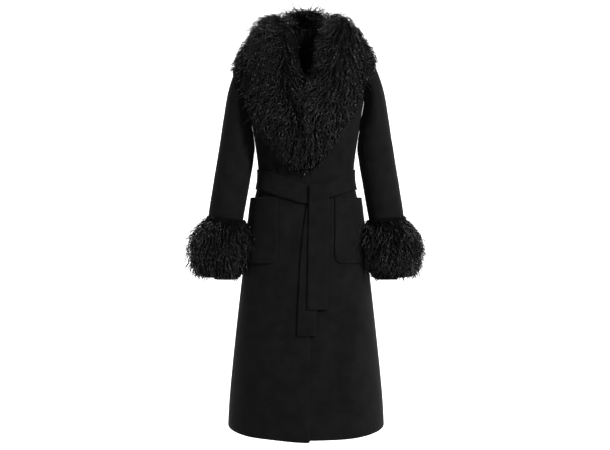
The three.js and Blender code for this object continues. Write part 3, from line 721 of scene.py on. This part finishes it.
@dataclass
class WoolCoat:
    """The cut pieces of cloth, each a thin wall on its solid's form.

    A face with a side shorter than the rim is on a wall's rim, and is moved out by the overlap.
    An edge that turns more than the corner's angle keeps its shape when the wall is subdivided.
    """

    nodes: dict[str, bpy.types.Object]
    wool: bpy.types.Material
    stitching: Topstitching
    rim: float = 3.6 * MM
    overlap: float = 0.4 * MM
    levels: int = 2
    corner: float = math.radians(50)
    firmness: float = 0.9
    agreement: float = 0.5
    body: BodyDrape = BodyDrape()
    sleeves: SleeveDrape = SleeveDrape()

    def panel(self, node: str) -> bpy.types.Object:
        """Builds one piece of cloth over its node.

        Args:
            node: The name of the CAD node that it replaces.

        Returns:
            The finished piece.
        """
        made = merged(self.nodes[node])
        crease = made.edges.layers.float.new("crease_edge")
        for edge in made.edges:
            if len(edge.link_faces) == 2 and edge.calc_face_angle() > self.corner:
                edge[crease] = self.firmness
        self.close_seams(made)
        mesh = bpy.data.meshes.new(node + "_cloth")
        made.to_mesh(mesh)
        made.free()
        obj = placed(node + "_cloth", mesh)
        smooth_rounded(obj, self.levels)
        self.crease(obj, node)
        obj.data.materials.clear()
        obj.data.materials.append(self.wool)
        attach(obj, "root")
        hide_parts(node)
        return obj

    def close_seams(self, made: bmesh.types.BMesh) -> None:
        """Moves a wall's rim out, so that neighbours meet at their seams.

        Args:
            made: The wall's mesh, which is changed.
        """
        made.normal_update()
        rims = [f for f in made.faces if min(e.calc_length() for e in f.edges) < self.rim]
        pushes = {}
        for face in rims:
            for vertex in face.verts:
                pushes.setdefault(vertex, []).append(face.normal.copy())
        for vertex, normals in pushes.items():
            away = sum(normals, Vector())
            if away.length > self.agreement:
                vertex.co += away.normalized() * self.overlap

    def crease(self, obj: bpy.types.Object, node: str) -> None:
        """Moves both faces of a wall together, into the folds of the place that it is at.

        Args:
            obj: The piece, whose mesh is changed.
            node: The name of the CAD node that it replaces.
        """
        sleeve = node.startswith("sleeve_")
        belt = node == "belt_band"
        for vertex in obj.data.vertices:
            p = vertex.co
            push, away = self.sleeves.push(p) if sleeve else self.body.push(p, belt)
            vertex.co = p + away * push
        obj.data.update()

    def build(self) -> list[bpy.types.Object]:
        """Builds every piece of cloth.

        Returns:
            The pieces, without their stitches.
        """
        pieces = []
        for name, cut in CUTS.items():
            piece = self.panel(name)
            trims = [self.stitching.sew(self.nodes[name], piece, self.rim)] if cut.sewn else []
            pieces.append(piece)
        return pieces


# ---- Fur ----

# Where the wearer's right lapel's hair parts, in millimetres: heights, and how far across.
PARTING_HEIGHTS = (-440.0, -300.0, -272.0, -240.0, -195.0, -120.0, -60.0)
PARTING_PLACES = (0.0, -14.0, -35.0, -55.0, -72.0, -60.0, -45.0)


@dataclass(frozen=True)
class LockShape:
    """How a lock grows, and how far one differs from the next, as shares of its sizes."""

    density: float = 90000.0
    shortest: float = 0.75
    longer: float = 0.45
    least_lift: float = 0.5
    more_lift: float = 0.7
    short_lift: float = 0.25
    long_lift: float = 0.75
    phases: float = 40.0
    settling: float = 5.0
    along: float = 0.9
    straying: float = 1.9
    stray_scale: float = 55.0
    sagging: float = 0.2
    taper: float = 0.6
    tip: float = 0.08
    sides: int = 3


@dataclass
class FurPiece:
    """A pelt and the locks that grow from it.

    Its hair is shorter where the solid is thin. Where the pelt lies on cloth it stays down
    and grows none.
    """

    nodes: dict[str, bpy.types.Object]
    fur: bpy.types.Material
    pelt: bpy.types.Material
    node: str
    shape: LockShape = LockShape()
    length: float = 46 * MM
    lift: float = 17 * MM
    spacing: float = 6.6 * MM
    crimp: float = 2.0 * MM
    pitch: float = 15 * MM
    thick: float = 1.6 * MM
    rings: int = 19
    seed: int = 3
    parts: int = 1
    split: float = -0.02
    fall: float = 0.35
    depth: float = 18 * MM
    deepest: float = 0.5
    middle: float = 1.5 * MM
    seam_turn: float = 0.8
    probe: float = 0.016
    skin: float = 2e-4
    thickest: float = 0.1
    unmeasured: float = 8 * MM
    thin: float = 6 * MM
    thicker: float = 30 * MM
    least: float = 0.3

    def comb(self, p: Vector, n: Vector) -> Vector:
        """The way the hair lies at a place: out over the roll, and down.

        Args:
            p: The place, in metres.
            n: The way that the pelt faces there.

        Returns:
            The direction, of any length.
        """
        flat = Vector((p.x, p.y, 0.0)) - self.axis(p.z)
        out = flat.normalized() if flat.length > SAME_PLACE else Vector((0, -1, 0))
        return out * n.z - Vector((0, 0, 1)) * n.dot(out) + Vector((0, 0, -self.fall))

    def axis(self, z: float) -> Vector:
        """The line that the fur goes round, at a height."""
        return Vector((0.0, 0.0, 0.0))

    def trim(self, p: Vector) -> float:
        """What share of its length the hair keeps at a place."""
        return 1.0

    def sink(self, p: Vector, n: Vector) -> float:
        """How far the pelt lies under the fur's reach at a place."""
        return self.depth

    def pelt_mesh(self, cloth: BVHTree) -> bpy.types.Object:
        """The pelt, pulled in from the fur's reach, with what the locks need at each point.

        Args:
            cloth: The faces of the cloth.

        Returns:
            The pelt, with how the hair lies, where it grows and how long it is.
        """
        made = merged(self.nodes[self.node])
        crease = made.edges.layers.float.new("crease_edge")
        for edge in made.edges:
            if all(abs(v.co.x) < self.middle for v in edge.verts):
                edge[crease] = 1.0
        mesh = bpy.data.meshes.new(self.node + "_pelt")
        made.to_mesh(mesh)
        made.free()
        obj = placed(self.node + "_pelt", mesh)
        smooth_rounded(obj, 1)
        mesh = obj.data
        own = surface_of([obj])
        count = len(mesh.vertices)
        combs = np.zeros((count, 3), np.float32)
        covers = np.zeros(count, np.float32)
        longs = np.zeros(count, np.float32)
        moved = []
        for vertex in mesh.vertices:
            n = vertex.normal.copy()
            p = vertex.co.copy()
            joined = abs(p.x) < self.middle
            wall = joined and abs(n.x) > self.seam_turn
            if joined and not wall:
                n.x = 0.0
                n.normalize()
            hit = own.ray_cast(p - n * self.skin, -n, self.thickest)
            thick = hit[3] if hit[0] is not None else self.unmeasured
            seated = wall or cloth.ray_cast(p - n * MM, n, self.probe)[0] is not None
            i = vertex.index
            combs[i] = self.comb(p, n)
            covers[i] = 0.0 if seated else 1.0
            longs[i] = min(1.0, max(self.least, (thick - self.thin) / self.thicker)) * self.trim(p)
            place = p if seated else p - n * min(self.deepest * thick, self.sink(p, n))
            if joined:
                place.x = -math.copysign(self.middle, p.x)
            moved.append(place)
        for vertex, place in zip(mesh.vertices, moved):
            vertex.co = place
        for name, kind, values in (
            ("comb", "FLOAT_VECTOR", combs),
            ("cover", "FLOAT", covers),
            ("long", "FLOAT", longs),
        ):
            layer = mesh.attributes.new(name, kind, "POINT")
            field = "vector" if kind == "FLOAT_VECTOR" else "value"
            layer.data.foreach_set(field, values.ravel())
        mesh.update()
        return obj

    def tree(self) -> bpy.types.NodeTree:
        """The Geometry Nodes that grow crimped locks from a pelt.

        Returns:
            The new tree, with its sizes as inputs.
        """
        tree = bpy.data.node_groups.new("fur_locks", "GeometryNodeTree")
        sockets = (
            ("Geometry", "NodeSocketGeometry", None),
            ("Spacing", "NodeSocketFloat", self.spacing),
            ("Length", "NodeSocketFloat", self.length),
            ("Lift", "NodeSocketFloat", self.lift),
            ("Crimp", "NodeSocketFloat", self.crimp),
            ("Pitch", "NodeSocketFloat", self.pitch),
            ("Thickness", "NodeSocketFloat", self.thick),
            ("Rings", "NodeSocketInt", self.rings),
            ("Seed", "NodeSocketInt", self.seed),
        )
        for name, kind, value in sockets:
            socket = tree.interface.new_socket(name, in_out="INPUT", socket_type=kind)
            if value is not None:
                socket.default_value = value
        tree.interface.new_socket("Geometry", in_out="OUTPUT", socket_type="NodeSocketGeometry")
        plan = NodePlan(tree)
        shape = self.shape
        given = plan.add("NodeGroupInput").outputs

        def read(name: str, kind: str = "FLOAT_VECTOR") -> bpy.types.NodeSocket:
            """What a named attribute says."""
            node = plan.add("GeometryNodeInputNamedAttribute", {"Name": name}, data_type=kind)
            return node.outputs["Attribute"]

        roots = plan.add(
            "GeometryNodeDistributePointsOnFaces",
            {
                "Mesh": given["Geometry"],
                "Distance Min": given["Spacing"],
                "Density Max": shape.density,
                "Density Factor": read("cover", "FLOAT"),
                "Seed": given["Seed"],
            },
            distribute_method="POISSON",
        )
        points = roots.outputs["Points"]
        chance = plan.add(
            "FunctionNodeRandomValue", {"Seed": given["Seed"]}, data_type="FLOAT_VECTOR"
        ).outputs["Value"]
        place = plan.add("GeometryNodeInputPosition").outputs[0]
        kept = (("stand", roots.outputs["Normal"]), ("root", place), ("chance", chance))
        for name, value in kept:
            points = plan.add(
                "GeometryNodeStoreNamedAttribute",
                {"Geometry": points, "Name": name, "Value": value},
                data_type="FLOAT_VECTOR",
                domain="POINT",
            ).outputs[0]
        line = plan.add("GeometryNodeCurvePrimitiveLine", {"End": (0.0, 0.0, 0.01)})
        steps = plan.add("GeometryNodeResampleCurve", {"Curve": line, "Count": given["Rings"]})
        grown = plan.add("GeometryNodeInstanceOnPoints", {"Points": points, "Instance": steps})
        hairs = plan.add("GeometryNodeRealizeInstances", {0: grown})

        t = plan.add("GeometryNodeSplineParameter").outputs["Factor"]
        stand, root = read("stand"), read("root")
        luck = plan.add("ShaderNodeSeparateXYZ", {0: read("chance")}).outputs
        lean = plan.scaled(stand, plan.vector("DOT_PRODUCT", read("comb"), stand))
        lie = plan.vector("NORMALIZE", plan.vector("SUBTRACT", read("comb"), lean))
        side = plan.vector("CROSS_PRODUCT", stand, lie)
        share = plan.math("MULTIPLY_ADD", luck[0], shape.longer, shape.shortest)
        keep = read("long", "FLOAT")
        long = plan.math("MULTIPLY", plan.math("MULTIPLY", given["Length"], share), keep)
        rest = plan.math("SUBTRACT", 1.0, t)
        rise = plan.math("SUBTRACT", 1.0, plan.math("MULTIPLY", rest, rest))
        high = plan.math("MULTIPLY_ADD", luck[1], shape.more_lift, shape.least_lift)
        lift = plan.math("MULTIPLY", given["Lift"], high)
        high = plan.math("MULTIPLY_ADD", keep, shape.long_lift, shape.short_lift)
        lift = plan.math("MULTIPLY", lift, high)
        turns = plan.math("DIVIDE", plan.math("MULTIPLY", t, long), given["Pitch"])
        wound = plan.math("MULTIPLY", turns, math.tau)
        phase = plan.math("MULTIPLY_ADD", luck[2], shape.phases, wound)
        settled = plan.math("MINIMUM", plan.math("MULTIPLY", t, shape.settling), 1.0)
        swell = plan.math("MULTIPLY", given["Crimp"], settled)
        noisy = {"Vector": root, "Scale": shape.stray_scale, "Detail": 1.0}
        drift = plan.add("ShaderNodeTexNoise", noisy)
        stray = plan.vector("SUBTRACT", drift.outputs["Color"], (0.5, 0.5, 0.5))
        bend = plan.math("MULTIPLY", plan.math("MULTIPLY", t, t), long)
        terms = (
            plan.scaled(lie, plan.math("MULTIPLY", plan.math("MULTIPLY", t, long), shape.along)),
            plan.scaled(stand, plan.math("MULTIPLY", lift, rise)),
            plan.scaled(side, plan.math("MULTIPLY", swell, plan.math("SINE", phase))),
            plan.scaled(stand, plan.math("MULTIPLY", swell, plan.math("COSINE", phase))),
            plan.scaled(stray, plan.math("MULTIPLY", bend, shape.straying)),
            plan.scaled((0.0, 0.0, -1.0), plan.math("MULTIPLY", bend, shape.sagging)),
        )
        total = root
        for term in terms:
            total = plan.vector("ADD", total, term)
        hairs = plan.add("GeometryNodeSetPosition", {"Geometry": hairs, "Position": total})
        point = plan.math("POWER", rest, shape.taper)
        taper = plan.math("ADD", plan.math("MULTIPLY", point, 1.0 - shape.tip), shape.tip)
        radius = plan.math("MULTIPLY", given["Thickness"], taper)
        hairs = plan.add(
            "GeometryNodeStoreNamedAttribute",
            {"Geometry": hairs, "Name": "tone", "Value": luck[2]},
            data_type="FLOAT",
            domain="POINT",
        )
        section = {"Resolution": shape.sides, "Radius": 1.0}
        ring = plan.add("GeometryNodeCurvePrimitiveCircle", section)
        solid = plan.add(
            "GeometryNodeCurveToMesh",
            {"Curve": hairs, "Profile Curve": ring, "Scale": radius, "Fill Caps": True},
        )
        shade = plan.add("GeometryNodeSetShadeSmooth", {"Geometry": solid})
        real = plan.add("GeometryNodeRealizeInstances", {0: shade})
        done = plan.add("GeometryNodeSetMaterial", {"Geometry": real, "Material": self.fur})
        plan.add("NodeGroupOutput", {0: done})
        return tree

    def locks(self, pelt: bpy.types.Object, name: str, tree: bpy.types.NodeTree) -> bpy.types.Object:
        """Grows one object of locks from a pelt.

        Args:
            pelt: The pelt, which is left alone.
            name: The locks' own name, which says whether they are front or back ones.
            tree: The Geometry Nodes that grow them.

        Returns:
            The locks, as one piece.
        """
        obj = placed(name, pelt.data.copy())
        if self.parts > 1:
            cover = obj.data.attributes["cover"].data
            for vertex, mark in zip(obj.data.vertices, cover):
                behind = vertex.co.y > self.split
                mark.value *= float(behind == name.endswith("back_locks"))
        grow = obj.modifiers.new("locks", "NODES")
        grow.node_group = tree
        baked(obj)
        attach(obj, "root")
        return obj

    def build(self, cloth: BVHTree) -> list[bpy.types.Object]:
        """Builds the pelt and its locks.

        Args:
            cloth: The faces of the cloth.

        Returns:
            The locks and then the pelt.
        """
        pelt = self.pelt_mesh(cloth)
        pelt.data.materials.clear()
        tree = self.tree()
        names = [""] if self.parts == 1 else ["_front", "_back"]
        pieces = [self.locks(pelt, self.node + name + "_locks", tree) for name in names]
        pelt.data.materials.append(self.pelt)
        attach(pelt, "root")
        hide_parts(self.node)
        return [*pieces, pelt]


@dataclass
class FurCollar(FurPiece):
    """One half of the shawl collar. Its hair parts down the wearer's right lapel.

    The sizes for the slant of the lapel's hair are in millimetres, and the rest in metres.
    """

    parts: int = 2
    fan_slant: float = 0.5
    fan_middle: float = 16.0
    fan_width: float = 30.0
    fan_back: float = -0.3
    outer_slants: tuple[float, float] = (-0.9, -1.8)
    outer_rise: Ramp = Ramp(-120.0, -40.0)
    inner_slant: float = 0.8
    parting: Ramp = Ramp(-14.0, 10.0)
    left_places: tuple[float, ...] = (60.0, 130.0, 175.0)
    left_slants: tuple[float, ...] = (-1.1, 0.0, 0.35)
    above_point: Ramp = Ramp(-335.0, -270.0)
    crest: Ramp = Ramp(0.2, 0.8)
    crest_place: Ramp = Ramp(-0.09, -0.03)
    nape_side: Ramp = Ramp(0.03, 0.085)
    shoulder_sink: float = 0.3
    nape_sink: float = -0.95
    neck_side: Ramp = Ramp(0.034, 0.062)
    neck_low: Ramp = Ramp(-0.21, -0.15)
    neck_front: Ramp = Ramp(0.02, -0.04)
    neck_trim: float = 0.6
    lapel_place: Ramp = Ramp(-0.02, -0.06)
    lapel_turn: Ramp = Ramp(0.1, 0.5)

    def slant(self, x: float, z: float) -> float:
        """How far the lapel's hair runs towards +X for each step down.

        Args:
            x: How far to the wearer's left the place is, in millimetres.
            z: Its height, in millimetres.

        Returns:
            The slant, below 0 towards the wearer's right.
        """
        spread = (abs(x) - self.fan_middle) / self.fan_width
        fan = math.copysign(self.fan_slant * min(1.0, max(self.fan_back, spread)), x)
        if x < 0:
            off = x - float(np.interp(z, PARTING_HEIGHTS, PARTING_PLACES))
            outer = mix(*self.outer_slants, self.outer_rise.at(z))
            upper = mix(outer, self.inner_slant, self.parting.at(off))
        else:
            upper = float(np.interp(x, self.left_places, self.left_slants))
        return mix(fan, upper, self.above_point.at(z))

    def sink(self, p: Vector, n: Vector) -> float:
        """Less at the nape, where the hair stands highest, and more over the shoulders.

        Args:
            p: The place, in metres.
            n: The way that the pelt faces there.

        Returns:
            The depth in metres, below the fur's reach.
        """
        top = self.crest.at(n.z) * self.crest_place.at(p.y)
        nape = 1.0 - self.nape_side.at(abs(p.x))
        return self.depth * (1.0 + top * mix(self.shoulder_sink, self.nape_sink, nape))

    def trim(self, p: Vector) -> float:
        """Shorter round the neck opening, so that it stays clear."""
        near = 1.0 - self.neck_side.at(abs(p.x))
        return 1.0 - self.neck_trim * near * self.neck_low.at(p.z) * self.neck_front.at(p.y)

    def comb(self, p: Vector, n: Vector) -> Vector:
        """Over the roll round the neck, and with the lapel's own slant in front.

        Args:
            p: The place, in metres.
            n: The way that the pelt faces there.

        Returns:
            The direction, of any length.
        """
        over = super().comb(p, n)
        front = self.lapel_place.at(p.y) * self.lapel_turn.at(-n.y)
        lapel = Vector((self.slant(p.x / MM, p.z / MM), 0.0, -1.0)).normalized()
        return over.lerp(lapel, front)


@dataclass
class FurCuff(FurPiece):
    """One cuff, whose hair hangs from all round the sleeve."""

    fall: float = 0.6
    top: float = -0.556
    across: float = 0.2275
    forward: float = -0.033
    lean_out: float = 0.119
    lean_forward: float = 0.108
    shortened: float = 0.5
    lower_part: Ramp = Ramp(-0.64, -0.73)
    upper_edge: Ramp = Ramp(-0.612, -0.575)
    upper_rise: float = 1.5
    upper_out: float = 0.5
    lower_edge: Ramp = Ramp(-0.65, -0.72)
    lower_in: float = 0.75

    def axis(self, z: float) -> Vector:
        """The middle of the sleeve at a height, in metres.

        Args:
            z: The height, in metres.

        Returns:
            The middle, with no height of its own.
        """
        side = -1.0 if self.node.endswith("right") else 1.0
        down = self.top - z
        across = side * (self.across + self.lean_out * down)
        return Vector((across, self.forward - self.lean_forward * down, 0.0))

    def trim(self, p: Vector) -> float:
        """Shorter towards the lower edge, so that the cuff rounds off."""
        return 1.0 - self.shortened * self.lower_part.at(p.z)

    def comb(self, p: Vector, n: Vector) -> Vector:
        """Up and out round the upper edge, down the side, and in under the lower edge.

        Args:
            p: The place, in metres.
            n: The way that the pelt faces there.

        Returns:
            The direction, of any length.
        """
        over = super().comb(p, n)
        flat = (Vector((p.x, p.y, 0.0)) - self.axis(p.z)).normalized()
        raised = Vector((0.0, 0.0, self.upper_rise)) + flat * self.upper_out
        over += raised * self.upper_edge.at(p.z)
        return over - flat * self.lower_in * self.lower_edge.at(p.z)


# ---- Studio ----


@dataclass(frozen=True)
class Lamp:
    """A soft round light, with its width in metres and its power in watts."""

    name: str
    place: tuple[float, float, float]
    aim: tuple[float, float, float]
    width: float
    power: float

    def build(self) -> None:
        """Adds the light, turned to what it points at."""
        data = bpy.data.lights.new(self.name, "AREA")
        data.shape = "DISK"
        data.size = self.width
        data.energy = self.power
        lamp = bpy.data.objects.new(self.name, data)
        lamp.location = self.place
        way = Vector(self.aim) - Vector(self.place)
        lamp.rotation_euler = way.to_track_quat("-Z", "Y").to_euler()
        bpy.context.scene.collection.objects.link(lamp)


@dataclass
class Studio:
    """A pale floor and backdrop, soft lights and the camera."""

    distance: float = 1.95
    height: float = -0.585
    aside: float = -0.003
    lens: float = 39.66
    ambient: float = 0.03
    lamps: tuple[Lamp, ...] = (
        Lamp("key", (1.9, -2.4, 1.2), (0.1, 0.0, -0.5), 0.6, 118.0),
        Lamp("fill", (-0.5, -3.0, 0.0), (0.0, 0.0, -0.4), 1.2, 6.0),
        Lamp("top", (-0.5, -0.8, 2.2), (0.0, 0.0, -0.3), 0.9, 8.0),
    )
    floor: float = -1.46
    floor_front: float = -6.0
    floor_back: float = 2.2
    bend: float = 1.5
    bend_steps: int = 8
    wall_top: float = 5.0
    half_width: float = 7.0
    paper: float = 0.93
    glow_places: tuple[float, float] = (-0.2, 0.6)

    def profile(self) -> list[tuple[float, float]]:
        """The floor, the bend and the backdrop as seen from the side.

        Returns:
            Their places in Y and Z.
        """
        line = [(self.floor_front, self.floor), (self.floor_back, self.floor)]
        for k in range(1, self.bend_steps + 1):
            a = k * math.pi / (2 * self.bend_steps)
            rise = self.bend * (1 - math.cos(a))
            line.append((self.floor_back + self.bend * math.sin(a), self.floor + rise))
        return [*line, (self.floor_back + self.bend, self.wall_top)]

    def sweep(self) -> None:
        """A pale floor that curves up into a backdrop, and glows behind the coat."""
        line = self.profile()
        verts = [(x, y, z) for y, z in line for x in (-self.half_width, self.half_width)]
        faces = [(2 * i, 2 * i + 1, 2 * i + 3, 2 * i + 2) for i in range(len(line) - 1)]
        mesh = bpy.data.meshes.new("sweep")
        mesh.from_pydata(verts, [], faces)
        mesh.shade_smooth()
        floor = placed("sweep", mesh)
        paint = bpy.data.materials.new("pale_sweep")
        paint.use_nodes = True
        shader = paint.node_tree.nodes["Principled BSDF"]
        shader.inputs["Base Color"].default_value = (self.paper, self.paper, self.paper, 1.0)
        shader.inputs["Roughness"].default_value = 0.9
        shader.inputs["Specular IOR Level"].default_value = 0.1
        shader.inputs["Emission Color"].default_value = (1.0, 1.0, 1.0, 1.0)
        plan = NodePlan(paint.node_tree)
        place = plan.add("ShaderNodeTexCoord").outputs["Object"]
        depth = plan.add("ShaderNodeSeparateXYZ", {0: place}).outputs["Y"]
        dark, bright = self.glow_places
        glow = plan.add("ShaderNodeMapRange", {0: depth, 1: dark, 2: bright, 3: 0.0, 4: 1.0})
        plan.feed(shader.inputs["Emission Strength"], glow)
        mesh.materials.append(paint)

    def build(self) -> None:
        """Sets the stage, the lights and the camera."""
        scene = bpy.context.scene
        scene.view_settings.view_transform = "Standard"
        world = bpy.data.worlds.new("studio")
        world.use_nodes = True
        sky = world.node_tree.nodes["Background"]
        sky.inputs["Color"].default_value = (1.0, 1.0, 1.0, 1.0)
        sky.inputs["Strength"].default_value = self.ambient
        scene.world = world
        self.sweep()
        for lamp in self.lamps:
            lamp.build()
        data = bpy.data.cameras.new("camera")
        data.lens = self.lens
        camera = bpy.data.objects.new("camera", data)
        camera.location = (self.aside, -self.distance, self.height)
        camera.rotation_euler = (math.pi / 2, 0.0, 0.0)
        scene.collection.objects.link(camera)
        scene.camera = camera


# ---- The whole coat ----


def report(pieces: list[bpy.types.Object]) -> None:
    """Logs each finished piece with its number of faces."""
    for piece in pieces:
        LOG.info("%s: %d faces", piece.name, len(piece.data.polygons))


def main() -> None:
    """Builds the coat piece by piece and reports each."""
    logging.basicConfig(level=logging.INFO, format="%(message)s")
    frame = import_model()
    nodes = frame["nodes"]
    wool = FeltedWool().material()
    fur = CurlyFur().material()
    pelt = Pelt().material()
    Studio().build()
    thread = FeltedWool("thread", (0.009, 0.009, 0.0095), (0.014, 0.014, 0.0147)).material()
    pieces = WoolCoat(nodes, wool, Topstitching(thread)).build()
    report(pieces)
    cloth = surface_of(pieces)
    for hand in HANDS:
        report(FurCollar(nodes, fur, pelt, f"fur_collar_{hand}").build(cloth))
        report(FurCuff(nodes, fur, pelt, f"fur_cuff_{hand}").build(cloth))


if __name__ == "__main__":
    main()
